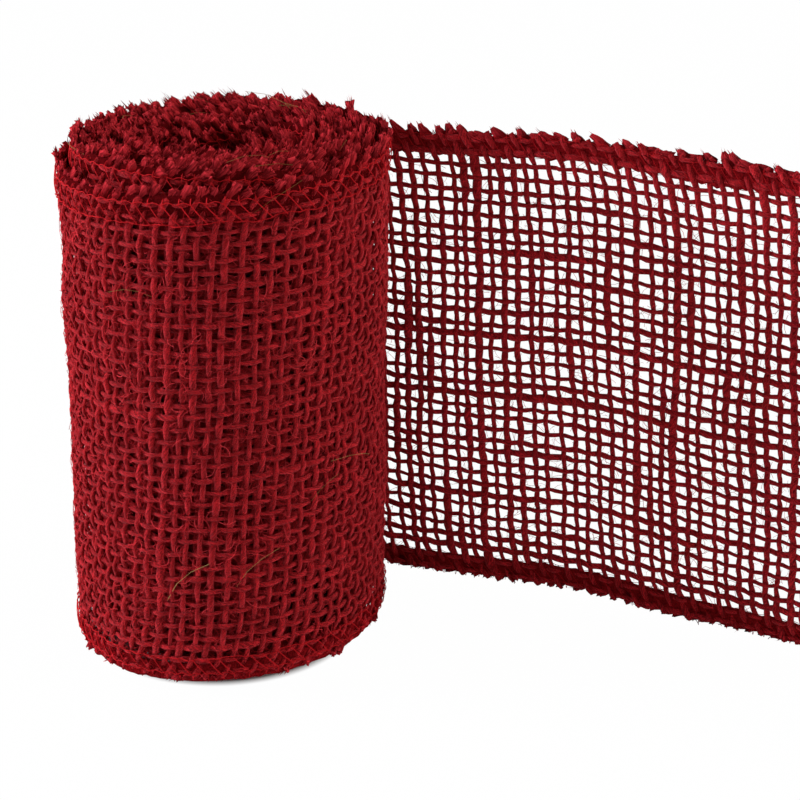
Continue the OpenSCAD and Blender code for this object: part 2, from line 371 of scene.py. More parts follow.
def weave_tree():
    """Warp and weft yarns of the cloth between two places along the ribbon."""
    t, i = new_tree(
        "jute_weave",
        path="Geometry",
        start=0.0,
        end=100.0,
        **CLOTH,
        **WOUND_YARNS,
        crimp=0.4,
        loose_end=0.0,
        material="Material",
    )
    first = add(t, MATH, i["start"], i["weft_pitch"], operation="DIVIDE")
    last = add(t, MATH, i["end"], i["weft_pitch"], operation="DIVIDE")
    span = add(t, MATH, last, first, operation="SUBTRACT")
    first_weft = add(t, MATH, first, operation="CEIL")
    wefts = add(t, MATH, add(t, MATH, last, operation="CEIL"), first_weft, operation="SUBTRACT")
    rings_per_crossing = 3.0

    # Warps may end past the last weft, at lengths of their own
    warp_line = add(t, CURVE_LINE, (0, 0, 0), add(t, COMBINE, span))
    rings = add(t, MATH, span, rings_per_crossing, 1.5, operation="MULTIPLY_ADD")
    warp_line = add(t, RESAMPLE, warp_line, named={"Count": rings})
    warp_places = add(t, MESH_LINE, i["warps"], add(t, COMBINE, first), (0, 1, 0), mode="OFFSET")
    loose_wefts = add(t, MATH, i["loose_end"], i["weft_pitch"], operation="DIVIDE")
    spare = add(t, MATH, add(t, RANDOM, 0.3, 1.0, None, 51), loose_wefts, operation="MULTIPLY")
    longer = add(t, MATH, add(t, MATH, spare, span, operation="DIVIDE"), 1.0, operation="ADD")
    scale = add(t, COMBINE, longer, 1.0, 1.0)
    warp_lines = add(t, REALIZE, add(t, ON_POINTS, warp_places, None, warp_line, named={"Scale": scale}))

    past_edge = 0.5
    top = add(t, MATH, i["warps"], 1 - past_edge, operation="SUBTRACT")
    weft_line = add(t, CURVE_LINE, (0, -past_edge, 0), add(t, COMBINE, None, top))
    rings = add(t, MATH, i["warps"], rings_per_crossing, 1.5, operation="MULTIPLY_ADD")
    weft_line = add(t, RESAMPLE, weft_line, named={"Count": rings})
    weft_places = add(t, MESH_LINE, wefts, add(t, COMBINE, first_weft), (1, 0, 0), mode="OFFSET")
    weft_lines = add(t, REALIZE, add(t, ON_POINTS, weft_places, None, weft_line))

    # Over one yarn and under the next
    weft_number, warp_number, _ = add(t, SEPARATE, add(t, POSITION), out=None).outputs
    waves = []
    for number in (weft_number, warp_number):
        turn = add(t, MATH, number, math.pi, operation="MULTIPLY")
        waves.append(add(t, MATH, turn, operation="COSINE"))
    crimp = add(t, MATH, add(t, MATH, *waves, operation="MULTIPLY"), i["crimp"], operation="MULTIPLY")

    meshes = []
    families = (
        (weft_lines, weft_number, warp_number, i["warp_pitch"], i["weft_radius"], 1.0, 0.0),
        (warp_lines, warp_number, weft_number, i["weft_pitch"], i["warp_radius"], -1.0, 700.0),
    )
    for lines, number, run, run_pitch, yarn_radius, side, first_number in families:
        lines = add(t, STORE, lines, None, "along", add(t, MATH, run, run_pitch, operation="MULTIPLY"))
        lines = add(t, STORE, lines, None, "strand", add(t, MATH, number, first_number, operation="ADD"))
        off = add(t, MATH, crimp, side, operation="MULTIPLY")
        flat = settled(t, i, add(t, COMBINE, weft_number, warp_number, off))
        lines = add(t, SET_POSITION, lines, None, flat)

        # Hand-spun: some strands are thick, each is thick and thin along its length, and some have slubs
        along = add(t, STORED, "along")
        strand = add(t, STORED, "strand")
        chance = add(t, WHITE, add(t, MATH, strand, i["seed"], operation="ADD"), noise_dimensions="1D")
        chance = add(t, MATH, chance, 3.0, operation="POWER")
        thick = add(t, MAP_RANGE, chance, 0.0, 1.0, 0.9, i["stoutest"])
        place = add(t, MATH, strand, 7.31, operation="MULTIPLY")
        place = add(t, MATH, along, 0.21, place, operation="MULTIPLY_ADD")
        uneven = wander(t, place, 1.0, 0.12)
        place = add(t, MATH, strand, 3.17, operation="MULTIPLY")
        place = add(t, MATH, along, 0.033, place, operation="MULTIPLY_ADD")
        slub = add(t, NOISE, place, named={"Scale": 1.0, "Detail": 0.0}, noise_dimensions="1D")
        slub = add(t, MAP_RANGE, slub, 0.66, 0.8, 0.0, 0.5)
        radius = add(t, MATH, add(t, MATH, thick, uneven, operation="ADD"), slub, operation="ADD")
        radius = add(t, MATH, radius, yarn_radius, operation="MULTIPLY")
        meshes.append(tubes(t, lines, 6, radius, twist_mm=5.0, squeeze=0.65, rough=0.42))
    laid = add(t, GROUP, add(t, JOIN, meshes), i["path"], node_tree=LAY)
    return finish_tree(t, laid, i["material"])


def sheet_tree():
    """A thin sheet with ragged edges: a strip of felt, or the winding, with its weave in the material."""
    t, i = new_tree(
        "cloth_sheet",
        path="Geometry",
        start=0.0,
        end=100.0,
        low=3.0,
        high=RIBBON_W - 3.0,
        thickness=0.7,
        rows=12,
        steps_per_mm=0.5,
        ragged=0.0,
        tone=0.0,
        material="Material",
    )
    length = add(t, MATH, i["end"], i["start"], operation="SUBTRACT")
    height = add(t, MATH, i["high"], i["low"], operation="SUBTRACT")
    steps = add(t, MATH, length, i["steps_per_mm"], 2.0, operation="MULTIPLY_ADD")
    size = add(t, COMBINE, length, height, i["thickness"])
    sheet = add(t, "GeometryNodeMeshCube", size, steps, i["rows"], 2)
    x, y, _ = add(t, SEPARATE, add(t, POSITION), out=None).outputs
    rags = wander(t, x, 0.45, 2.0, detail=2.0)
    rags = add(t, MATH, rags, add(t, MATH, y, height, operation="DIVIDE"), operation="MULTIPLY")
    rags = add(t, COMBINE, None, add(t, MATH, rags, i["ragged"], operation="MULTIPLY"))
    sheet = add(t, SET_POSITION, sheet, None, None, add(t, VECTOR, patch_middle(t, i), rags, operation="ADD"))
    sheet = add(t, STORE, sheet, None, "flat", add(t, POSITION), data_type="FLOAT_VECTOR")
    sheet = add(t, STORE, sheet, None, "tone", i["tone"])
    sheet = add(t, GROUP, sheet, i["path"], node_tree=LAY)
    return finish_tree(t, sheet, i["material"])


def fringe_tree():
    """Cut weft ends past the overlock: tufts of broken fibres that lean back along the edge."""
    t, i = new_tree(
        "weft_fringe",
        path="Geometry",
        start=0.0,
        end=100.0,
        **CLOTH,
        **BRUSH_TUFT,
        edge_warp=36.0,
        fibre_radius=0.09,
        material="Material",
    )
    first = add(t, MATH, add(t, MATH, i["start"], i["weft_pitch"], operation="DIVIDE"), operation="CEIL")
    after = add(t, MATH, add(t, MATH, i["end"], i["weft_pitch"], operation="DIVIDE"), operation="CEIL")
    count = add(t, MATH, after, first, operation="SUBTRACT")
    tufts = add(t, MESH_LINE, count, add(t, COMBINE, first), (1, 0, 0), mode="OFFSET")
    weft = add(t, SEPARATE, add(t, POSITION))

    def tuft_chance(low, high, offset):
        """A random number that all the fibres of a tuft share."""
        noise = add(t, WHITE, add(t, MATH, weft, offset, operation="ADD"), noise_dimensions="1D")
        return add(t, MAP_RANGE, noise, 0.0, 1.0, low, high)

    rise = add(t, MATH, i["reach_up"], tuft_chance(i["lowest"], i["highest"], 11.9), operation="MULTIPLY")
    lean = add(t, MATH, i["reach_along"], tuft_chance(0.5, 1.4, 3.7), operation="MULTIPLY")
    reach = add(t, COMBINE, lean, rise, tuft_chance(-0.8, 0.8, 23.3))
    factor = add(t, ON_SPLINE, out="Factor")

    # The body of each tuft: a flat brush of fibres, fluted, with a blunt, ragged end
    brush = add(t, CURVE_LINE, (0, 0, 0), (0, 1, 0))
    brush = add(t, RESAMPLE, brush, named={"Count": 5})
    brush = add(t, STORE, brush, None, "tip", factor)
    flutes = add(t, "GeometryNodeCurveStar", 6, 0.7, 1.0)
    flutes = add(t, STORE, flutes, None, "around", factor)
    widening = add(t, MATH, i["tip_width"], i["root_width"], operation="DIVIDE")
    width = add(t, MAP_RANGE, factor, 0.0, 1.0, 0.5, add(t, MATH, widening, 0.5, operation="MULTIPLY"))
    rounding = add(t, MATH, add(t, MATH, factor, 6.0, operation="POWER"), -0.2, 1.0, operation="MULTIPLY_ADD")
    width = add(t, MATH, width, rounding, operation="MULTIPLY")
    brush = add(t, TO_MESH, brush, flutes, width, True)
    root = settled(t, i, add(t, COMBINE, weft, i["edge_warp"]))
    turn = add(t, ALIGN, None, 1.0, reach, axis="Y")
    thick = add(t, MATH, i["root_width"], i["tip_width"], operation="MINIMUM")
    thick = add(t, MATH, thick, 0.6, operation="MULTIPLY")
    size = add(t, COMBINE, i["root_width"], add(t, VECTOR, reach, operation="LENGTH", out="Value"), thick)
    bodies = add(t, STORE, tufts, None, "turn", turn, data_type="QUATERNION")
    bodies = add(t, STORE, bodies, None, "size", size, data_type="FLOAT_VECTOR")
    bodies = add(t, STORE, bodies, None, "tone", tuft_chance(0.0, 0.8, 31.7))
    bodies = add(t, SET_POSITION, bodies, None, root)
    turn = add(t, STORED, "turn", data_type="QUATERNION")
    size = add(t, STORED, "size", data_type="FLOAT_VECTOR")
    bodies = add(t, REALIZE, add(t, ON_POINTS, bodies, None, brush, named={"Rotation": turn, "Scale": size}))
    splay = add(t, MAP_RANGE, add(t, STORED, "tip"), 0.3, 1.0, 0.8, i["splay"])
    bodies = add(t, SET_POSITION, bodies, None, None, lumps(t, 2.2, 2.0, splay))

    # For the material: a place in the brush's own strands, which run from root to tip
    turn = add(t, MATH, add(t, STORED, "around"), 2 * math.pi, operation="MULTIPLY")
    down = add(t, MATH, add(t, STORED, "tone"), 90.0, operation="MULTIPLY")
    down = add(t, MATH, add(t, STORED, "tip"), down, operation="ADD")
    bodies = add(t, STORE, bodies, None, "fibre", on_tube(t, turn, down), data_type="FLOAT_VECTOR")
    bodies = add(t, STORE, bodies, None, "brush", 1.0)

    # Fibres that stand out of the tuft
    roots = add(t, "GeometryNodeDuplicateElements", tufts, None, i["fibres"], domain="POINT")
    in_tuft = add(t, RANDOM, -0.5, 0.5, None, 11)
    root_weft = add(t, MATH, in_tuft, i["root_share"], weft, operation="MULTIPLY_ADD")
    root_warp = add(t, MATH, i["edge_warp"], add(t, RANDOM, -0.4, 0.4, None, 12), operation="ADD")
    root = settled(t, i, add(t, COMBINE, root_weft, root_warp, add(t, RANDOM, -0.35, 0.35, None, 13)))
    tip_weft = add(t, MATH, in_tuft, i["tip_share"], weft, operation="MULTIPLY_ADD")
    tip = settled(t, i, add(t, COMBINE, tip_weft, i["edge_warp"]))
    reach = add(t, VECTOR, reach, named={"Scale": add(t, RANDOM, 0.55, 0.98, None, 20)}, operation="SCALE")
    spread = [add(t, RANDOM, -1.0, most, None, seed) for most, seed in ((1.0, 14), (0.7, 15), (1.0, 16))]
    spread = add(t, COMBINE, *spread)
    spread = add(t, VECTOR, spread, named={"Scale": i["flare"]}, operation="SCALE")
    tip = add(t, VECTOR, add(t, VECTOR, tip, reach, operation="ADD"), spread, operation="ADD")
    run = add(t, VECTOR, tip, root, operation="SUBTRACT")
    roots = add(t, STORE, roots, None, "run", run, data_type="FLOAT_VECTOR")
    own_tone = add(t, RANDOM, 0.0, 0.5, None, 17)
    tone = add(t, MATH, tuft_chance(0.0, 1.0, 31.7), 0.5, own_tone, operation="MULTIPLY_ADD")
    roots = add(t, STORE, roots, None, "tone", tone)
    roots = add(t, SET_POSITION, roots, None, root)

    # One fibre, a unit long and a unit thick, a little bent
    fibre = add(t, BEZIER, 2, (0, 0, 0), (0, 0.35, 0.9), (1.2, 0.7, 1.8), (1.6, 1, 0.5))
    fibre = add(t, STORE, fibre, None, "tip", factor)
    ring = add(t, CIRCLE, 3, named={"Radius": 1.0}, mode="RADIUS")
    fibre = add(t, TO_MESH, fibre, ring, add(t, MAP_RANGE, factor, 0.0, 1.0, 1.1, 0.6), True)
    run = add(t, STORED, "run", data_type="FLOAT_VECTOR")
    spin = add(t, RANDOM, 0.0, 2 * math.pi, None, 18)
    spin = add(t, "FunctionNodeEulerToRotation", add(t, COMBINE, None, spin))
    turn = add(t, ALIGN, spin, 1.0, run, axis="Y")
    thick = add(t, MATH, i["fibre_radius"], add(t, RANDOM, 0.6, 1.25, None, 19), operation="MULTIPLY")
    size = add(t, COMBINE, thick, add(t, VECTOR, run, operation="LENGTH", out="Value"), thick)
    fibres = add(t, REALIZE, add(t, ON_POINTS, roots, None, fibre, named={"Rotation": turn, "Scale": size}))
    fringe = add(t, JOIN, [bodies, fibres])
    for spent in ("run", "turn", "size", "around"):
        fringe = add(t, "GeometryNodeRemoveAttribute", fringe, None, spent)
    fringe = add(t, GROUP, fringe, i["path"], node_tree=LAY)
    return finish_tree(t, fringe, i["material"])


def overlock_tree():
    """The looper threads: slanted across the edge on both faces, a chain line, and loops over the edge."""
    t, i = new_tree(
        "overlock_loopers",
        path="Geometry",
        start=0.0,
        end=100.0,
        stitch=STITCH,
        needle_height=94.0,
        chain_height=97.6,
        edge_height=99.4,
        slant=SLANT_ALONG,
        lift=0.85,
        thread_radius=THREAD_RADIUS,
        material="Material",
    )
    length = add(t, MATH, i["end"], i["start"], operation="SUBTRACT")
    stitches = add(t, MATH, length, i["stitch"], operation="DIVIDE")
    step = add(t, COMBINE, i["stitch"])
    places = add(t, MESH_LINE, stitches, add(t, COMBINE, i["start"]), step, mode="OFFSET")
    shift = add(t, RANDOM, -0.35, 0.35, None, 21)
    places = add(t, SET_POSITION, places, None, None, add(t, COMBINE, shift))
    factor = add(t, ON_SPLINE, out="Factor")

    # Slanted threads that bulge over the soft edge; the two faces slant alike, each seen from its own side
    scale = add(t, COMBINE, add(t, RANDOM, 0.8, 1.2, None, 22), 1.0, 1.0)
    bulge = add(t, MATH, add(t, MATH, factor, math.pi, operation="MULTIPLY"), operation="SINE")
    bulge = add(t, MATH, bulge, 0.25, i["lift"], operation="MULTIPLY_ADD")
    threads = []
    for side, foot_at, head_at in ((1.0, None, i["slant"]), (-1.0, i["slant"], None)):
        foot = add(t, COMBINE, foot_at, i["needle_height"])
        head = add(t, COMBINE, head_at, i["chain_height"])
        slanted = add(t, CURVE_LINE, foot, head)
        slanted = add(t, RESAMPLE, slanted, named={"Count": 6})
        slants = add(t, REALIZE, add(t, ON_POINTS, places, None, slanted, named={"Scale": scale}))
        off = add(t, MATH, bulge, side, operation="MULTIPLY")
        threads.append(add(t, SET_POSITION, slants, None, None, add(t, COMBINE, None, None, off)))

    # The chain line, scalloped from stitch to stitch
    ends = [add(t, COMBINE, i[place], i["chain_height"], i["lift"]) for place in ("start", "end")]
    rings = add(t, MATH, stitches, RINGS_PER_STITCH, operation="MULTIPLY")
    chain = add(t, RESAMPLE, add(t, CURVE_LINE, *ends), named={"Count": rings})
    along = add(t, SEPARATE, add(t, POSITION))
    turn = add(t, MATH, add(t, MATH, along, i["stitch"], operation="DIVIDE"), math.pi, operation="MULTIPLY")
    scallop = add(t, MATH, add(t, MATH, turn, operation="SINE"), operation="ABSOLUTE")
    scallop = add(t, MATH, scallop, 0.55, operation="MULTIPLY")
    chain = add(t, SET_POSITION, chain, None, None, add(t, COMBINE, None, scallop))
    threads += [chain, add(t, "GeometryNodeTransform", chain, named={"Scale": (1, 1, -1)})]

    # Loops that go over the edge from face to face
    corners = []
    chain_height, edge_height = i["chain_height"], i["edge_height"]
    for height, lifts in ((chain_height, 1.0), (edge_height, 1.3), (edge_height, -1.3), (chain_height, -1.0)):
        off = add(t, MATH, i["lift"], lifts, operation="MULTIPLY")
        corners.append(add(t, COMBINE, i["slant"], height, off))
    loop = add(t, RESAMPLE, add(t, BEZIER, 7, *corners), named={"Count": 7})
    threads.append(add(t, REALIZE, add(t, ON_POINTS, places, None, loop)))

    threads = add(t, JOIN, threads)
    threads = add(t, STORE, threads, None, "along", add(t, ON_SPLINE, out="Length"))
    threads = add(t, STORE, threads, None, "strand", along)
    threads = tubes(t, threads, 4, i["thread_radius"], twist_mm=1.6)
    return finish_tree(t, add(t, GROUP, threads, i["path"], node_tree=LAY), i["material"])


def needle_tree():
    """The needle thread: a straight line of stitches that dips into the cloth between them."""
    t, i = new_tree(
        "needle_thread",
        path="Geometry",
        start=0.0,
        end=100.0,
        stitch=STITCH,
        height=94.0,
        lift=0.8,
        dip=0.25,
        thread_radius=THREAD_RADIUS,
        material="Material",
    )
    ends = [add(t, COMBINE, i[place], i["height"]) for place in ("start", "end")]
    length = add(t, MATH, i["end"], i["start"], operation="SUBTRACT")
    stitches = add(t, MATH, length, i["stitch"], operation="DIVIDE")
    rings = add(t, MATH, stitches, RINGS_PER_STITCH, operation="MULTIPLY")
    line = add(t, RESAMPLE, add(t, CURVE_LINE, *ends), named={"Count": rings})
    along = add(t, SEPARATE, add(t, POSITION))
    turn = add(t, MATH, along, i["stitch"], operation="DIVIDE")
    turn = add(t, MATH, turn, 2 * math.pi, operation="MULTIPLY")
    dip = add(t, MATH, add(t, MATH, turn, operation="COSINE"), i["dip"], i["lift"], operation="MULTIPLY_ADD")
    sway = wander(t, along, 0.16, 0.3)
    line = add(t, STORE, line, None, "along", along)
    line = add(t, STORE, line, None, "strand", i["height"])
    line = add(t, SET_POSITION, line, None, None, add(t, COMBINE, None, sway, dip))
    line = tubes(t, line, 4, i["thread_radius"], twist_mm=1.6)
    return finish_tree(t, add(t, GROUP, line, i["path"], node_tree=LAY), i["material"])


def fuzz_tree():
    """Loose fibres that stand out of the yarns, bent and lying every way over the cloth."""
    t, i = new_tree(
        "loose_fibres",
        path="Geometry",
        start=0.0,
        end=100.0,
        low=0.0,
        high=RIBBON_W,
        per_mm2=0.08,
        shortest=2.0,
        longest=6.0,
        off_from=-0.6,
        off_to=1.0,
        thickness=0.011,
        pale=0.4,
        spin=math.pi,
        seed=31,
        material="Material",
    )
    length = add(t, MATH, i["end"], i["start"], operation="SUBTRACT")
    height = add(t, MATH, i["high"], i["low"], operation="SUBTRACT")
    patch = add(t, "GeometryNodeMeshGrid", length, height, 2, 2)
    patch = add(t, SET_POSITION, patch, None, None, patch_middle(t, i))
    roots = add(t, SCATTER, patch, None, i["per_mm2"], i["seed"], distribute_method="RANDOM")
    off = add(t, RANDOM, i["off_from"], i["off_to"], None, 41)
    roots = add(t, SET_POSITION, roots, None, None, add(t, COMBINE, None, None, off))
    roots = add(t, STORE, roots, None, "tone", add(t, RANDOM, 0.0, 1.0, None, 42))

    # One fibre, a unit long, bent twice; its tip value, which frayed_jute turns into a painted highlight, grows
    # towards its far end
    fibre = add(t, BEZIER, 3, (-0.5, 0, -0.05), (-0.2, 0.2, 0.1), (0.1, 0.25, 0.12), (0.45, -0.15, 0.02))
    factor = add(t, ON_SPLINE, out="Factor")
    fibre = add(t, STORE, fibre, None, "tip", add(t, MATH, factor, 0.4, i["pale"], operation="MULTIPLY_ADD"))
    ring = add(t, CIRCLE, 3, named={"Radius": 1.0}, mode="RADIUS")
    fibre = add(t, TO_MESH, fibre, ring, i["thickness"], True)
    tip = add(t, RANDOM, -0.2, 0.2, None, 43)
    roll = add(t, RANDOM, -0.5, 0.5, None, 44)
    spin = add(t, MATH, add(t, RANDOM, -1.0, 1.0, None, 45), i["spin"], operation="MULTIPLY")
    turn = add(t, "FunctionNodeEulerToRotation", add(t, COMBINE, roll, tip, spin))
    # Most are short; a long one is little thicker than a short one
    chance = add(t, RANDOM, 0.0, 1.0, None, 46)
    chance = add(t, MATH, chance, chance, operation="MULTIPLY")
    length = add(t, MAP_RANGE, chance, 0.0, 1.0, i["shortest"], i["longest"])
    across = add(t, MATH, length, 0.35, 1.2, operation="MULTIPLY_ADD")
    size = add(t, COMBINE, length, across, across)
    fibres = add(t, REALIZE, add(t, ON_POINTS, roots, None, fibre, named={"Rotation": turn, "Scale": size}))
    fibres = add(t, GROUP, fibres, i["path"], node_tree=LAY)
    return finish_tree(t, fibres, i["material"])


WEAVE = weave_tree()
SHEET = sheet_tree()
FRINGE = fringe_tree()
OVERLOCK = overlock_tree()
NEEDLE = needle_tree()
FUZZ = fuzz_tree()


# Materials


def colour(code):
    """An sRGB hex value as linear colour."""
    parts = [int(code[k : k + 2], 16) / 255 for k in (1, 3, 5)]
    return (*(c / 12.92 if c <= 0.04045 else ((c + 0.055) / 1.055) ** 2.4 for c in parts), 1.0)


def new_material(name, **settings):
    """A material with one Principled shader; the settings are its inputs that are the same all over."""
    material = bpy.data.materials.new(name)
    material.use_nodes = True
    tree = material.node_tree
    shader = tree.nodes["Principled BSDF"]
    for label, value in settings.items():
        shader.inputs[label.replace("_", " ")].default_value = value
    return material, tree, shader


def coat(tree, shader, body, relief=None, strength=0.0, depth=0.0):
    """Gives a shader its colour and, where it has one, a relief of this depth in mm."""
    tree.links.new(body, shader.inputs["Base Color"])
    if relief:
        sizes = {"Strength": strength, "Distance": depth * MM, "Height": relief}
        tree.links.new(add(tree, "ShaderNodeBump", named=sizes), shader.inputs["Normal"])


def dyed_jute_yarn():
    """Dyed jute yarn, spun coarse: matt, streaked along its twist, paler where fibres stand up."""
    material, t, shader = new_material(
        "dyed_jute_yarn",
        Roughness=1.0,
        Diffuse_Roughness=1.0,
        Specular_IOR_Level=0.0,
        Sheen_Weight=0.22,
        Sheen_Roughness=0.5,
        Sheen_Tint=colour("#f08c94"),
    )
    fibre = add(t, ATTRIBUTE, attribute_name="fibre", out="Vector")
    tone = add(t, ATTRIBUTE, attribute_name="tone", out="Fac")
    # Streaks about 0.2 mm wide, coarser than jute fibre is, so that they show
    streak = add(t, NOISE, fibre, named={"Scale": 2.6, "Detail": 4.0, "Roughness": 0.7})
    share = add(t, MAP_RANGE, streak, 0.4, 0.6, 0.0, 1.0)
    body = add(t, MIX, share, named={"A": colour("#660d11"), "B": colour("#e62e37")}, data_type="RGBA")
    dye = add(t, MAP_RANGE, tone, 0.0, 1.0, 0.0, 0.4)
    body = add(t, MIX, dye, body, colour("#9a181d"), data_type="RGBA")
    coat(t, shader, body, streak, strength=0.9, depth=0.4)
    return material


def frayed_jute():
    """Broken jute fibres at a cut end: darker at the root, with a painted highlight towards the tip, streaked
    along their tuft.
    """
    matt = dict(Roughness=1.0, Diffuse_Roughness=1.0, Specular_IOR_Level=0.0)
    material, t, shader = new_material("frayed_jute", **matt)
    place = add(t, TEXTURE_PLACE, out="Object")
    # Strands are drawn coarser than jute fibre is, so that they show
    strand = 0.3125 * MM
    place = add(t, VECTOR, place, named={"Scale": 1 / strand}, operation="SCALE")
    fibre = add(t, ATTRIBUTE, attribute_name="fibre", out="Vector")
    fibre = add(t, VECTOR, fibre, (5.5, 5.5, 1.5), operation="MULTIPLY")
    brush = add(t, ATTRIBUTE, attribute_name="brush", out="Fac")
    place = add(t, MIX, brush, place, fibre, data_type="VECTOR")
    strands = add(t, NOISE, place, named={"Scale": 1.0, "Detail": 3.0})
    tone = add(t, ATTRIBUTE, attribute_name="tone", out="Fac")
    tip = add(t, ATTRIBUTE, attribute_name="tip", out="Fac")
    body = add(t, MIX, tone, named={"A": colour("#560b0e"), "B": colour("#b91d24")}, data_type="RGBA")
    # Towards the tip the colour pales: painted highlight for the light that shines through the fibre ends
    share = add(t, MAP_RANGE, tip, 0.3, 1.0, 0.0, 0.8)
    pale = add(t, MIX, share, body, colour("#f3414b"), data_type="RGBA")
    share = add(t, MAP_RANGE, strands, 0.6, 0.35, 0.0, 0.75)
    dark = add(t, MIX, share, pale, colour("#4e060b"), data_type="RGBA")
    coat(t, shader, dark, strands, strength=0.7, depth=0.3)
    return material


def loose_jute_fibre():
    """Single jute fibres out of the yarns: painted paler than the yarn, a painted highlight for the light that
    such thin fibres take from all sides.
    """
    material, t, shader = new_material("loose_jute_fibre", Roughness=1.0, Specular_IOR_Level=0.0)
    tone = add(t, ATTRIBUTE, attribute_name="tone", out="Fac")
    # Both colours are paler than the yarn's: painted light
    body = add(t, MIX, tone, named={"A": colour("#9c1920"), "B": colour("#e84047")}, data_type="RGBA")
    coat(t, shader, body)
    return material


def spun_polyester_thread():
    """Spun polyester sewing thread: smoother and brighter than the jute, with the fine turns of its twist."""
    material, t, shader = new_material("spun_polyester_thread", Roughness=0.8, Specular_IOR_Level=0.05)
    fibre = add(t, ATTRIBUTE, attribute_name="fibre", out="Vector")
    plies = add(t, NOISE, fibre, named={"Scale": 1.2, "Detail": 2.0})
    share = add(t, MAP_RANGE, plies, 0.35, 0.65, 0.0, 1.0)
    body = add(t, MIX, share, named={"A": colour("#981218"), "B": colour("#d11e25")}, data_type="RGBA")
    coat(t, shader, body)
    return material


def wound_jute_cloth():
    """Jute cloth deep in the winding: the same weave painted on, with painted shade in its openings for the
    dark between the turns.
    """
    material, t, shader = new_material("wound_jute_cloth", Roughness=1.0, Specular_IOR_Level=0.0)
    flat = add(t, ATTRIBUTE, attribute_name="flat", out="Vector")
    x, y, _ = add(t, SEPARATE, flat, out=None).outputs
    waves = []
    for place, pitch in ((x, CLOTH["weft_pitch"]), (y, CLOTH["warp_pitch"])):
        turn = add(t, MATH, place, 2 * math.pi / pitch, operation="MULTIPLY")
        waves.append(add(t, MATH, turn, operation="COSINE"))
    yarn = add(t, MATH, *waves, operation="MAXIMUM")
    fuzz = add(t, NOISE, flat, named={"Scale": 3.0, "Detail": 3.0})
    height = add(t, MATH, fuzz, 0.5, yarn, operation="MULTIPLY_ADD")
    # The low places, the weave's openings, take the dark colour: painted shade
    share = add(t, MAP_RANGE, height, -0.3, 1.2, 0.0, 1.0)
    body = add(t, MIX, share, named={"A": colour("#350608"), "B": colour("#a1161e")}, data_type="RGBA")
    coat(t, shader, body, height, strength=0.8, depth=0.5)
    return material


def undyed_jute():
    """A few straw-coloured fibres that the dye missed."""
    material, t, shader = new_material("undyed_jute", Roughness=0.9, Specular_IOR_Level=0.1)
    tone = add(t, ATTRIBUTE, attribute_name="tone", out="Fac")
    body = add(t, MIX, tone, named={"A": colour("#83592f"), "B": colour("#bd9560")}, data_type="RGBA")
    coat(t, shader, body)
    return material


def spiral_kraft():
    """Spiral-wound kraft paper: brown, with long fibres, and a seam that climbs round the tube."""
    material, t, shader = new_material("spiral_kraft", Roughness=0.85, Specular_IOR_Level=0.25)
    place = add(t, TEXTURE_PLACE, out="Object")
    x, y, z = add(t, SEPARATE, place, out=None).outputs
    turn = add(t, MATH, add(t, MATH, y, x, operation="ARCTAN2"), 2 * math.pi, operation="DIVIDE")
    climb = 38.0 * MM
    strip = add(t, MATH, add(t, MATH, z, climb, operation="DIVIDE"), turn, operation="ADD")
    strip = add(t, MATH, strip, operation="FRACT")
    seam = add(t, MATH, add(t, MATH, strip, 0.5, operation="SUBTRACT"), operation="ABSOLUTE")
    seam = add(t, MAP_RANGE, seam, 0.0, 0.018, 1.0, 0.0)
    fibre_length = 2.5 * MM
    fibre_width = 0.625 * MM
    steps = (1 / fibre_length, 1 / fibre_length, 1 / fibre_width)
    stretched = add(t, VECTOR, place, steps, operation="MULTIPLY")
    fibres = add(t, NOISE, stretched, named={"Scale": 1.0, "Detail": 4.0})
    body = add(t, MIX, fibres, named={"A": colour("#8a6540"), "B": colour("#b98f60")}, data_type="RGBA")
    body = add(t, MIX, seam, body, colour("#5c4128"), data_type="RGBA")
    height = add(t, MATH, fibres, seam, operation="SUBTRACT")
    coat(t, shader, body, height, strength=0.4, depth=0.2)
    return material


def tissue_tape():
    """Double-sided tissue tape: yellowish adhesive with the tissue's long fibres in it."""
    material, t, shader = new_material("tissue_tape", Roughness=0.35, Specular_IOR_Level=0.4)
    place = add(t, TEXTURE_PLACE, out="Object")
    fibre_length = 2.0 * MM
    fibres_across = 2.6 / MM
    steps = (fibres_across, fibres_across, 1 / fibre_length)
    stretched = add(t, VECTOR, place, steps, operation="MULTIPLY")
    fibres = add(t, NOISE, stretched, named={"Scale": 1.0, "Detail": 3.0})
    body = add(t, MIX, fibres, named={"A": colour("#b9ac86"), "B": colour("#e4dcc0")}, data_type="RGBA")
    coat(t, shader, body, fibres, strength=0.2, depth=0.1)
    return material


YARN = dyed_jute_yarn()
FRAYED = frayed_jute()
LOOSE = loose_jute_fibre()
THREAD = spun_polyester_thread()
SHADED_DEEP_CLOTH = wound_jute_cloth()
UNDYED = undyed_jute()

# The paper core and its tape keep the CAD's shape
for node, material in (("core_tube", spiral_kraft()), ("start_tape", tissue_tape())):
    mesh = bpy.data.objects[node].data
    mesh.materials.clear()
    mesh.materials.append(material)


# Paths: the ribbon's lower edge, in millimetres


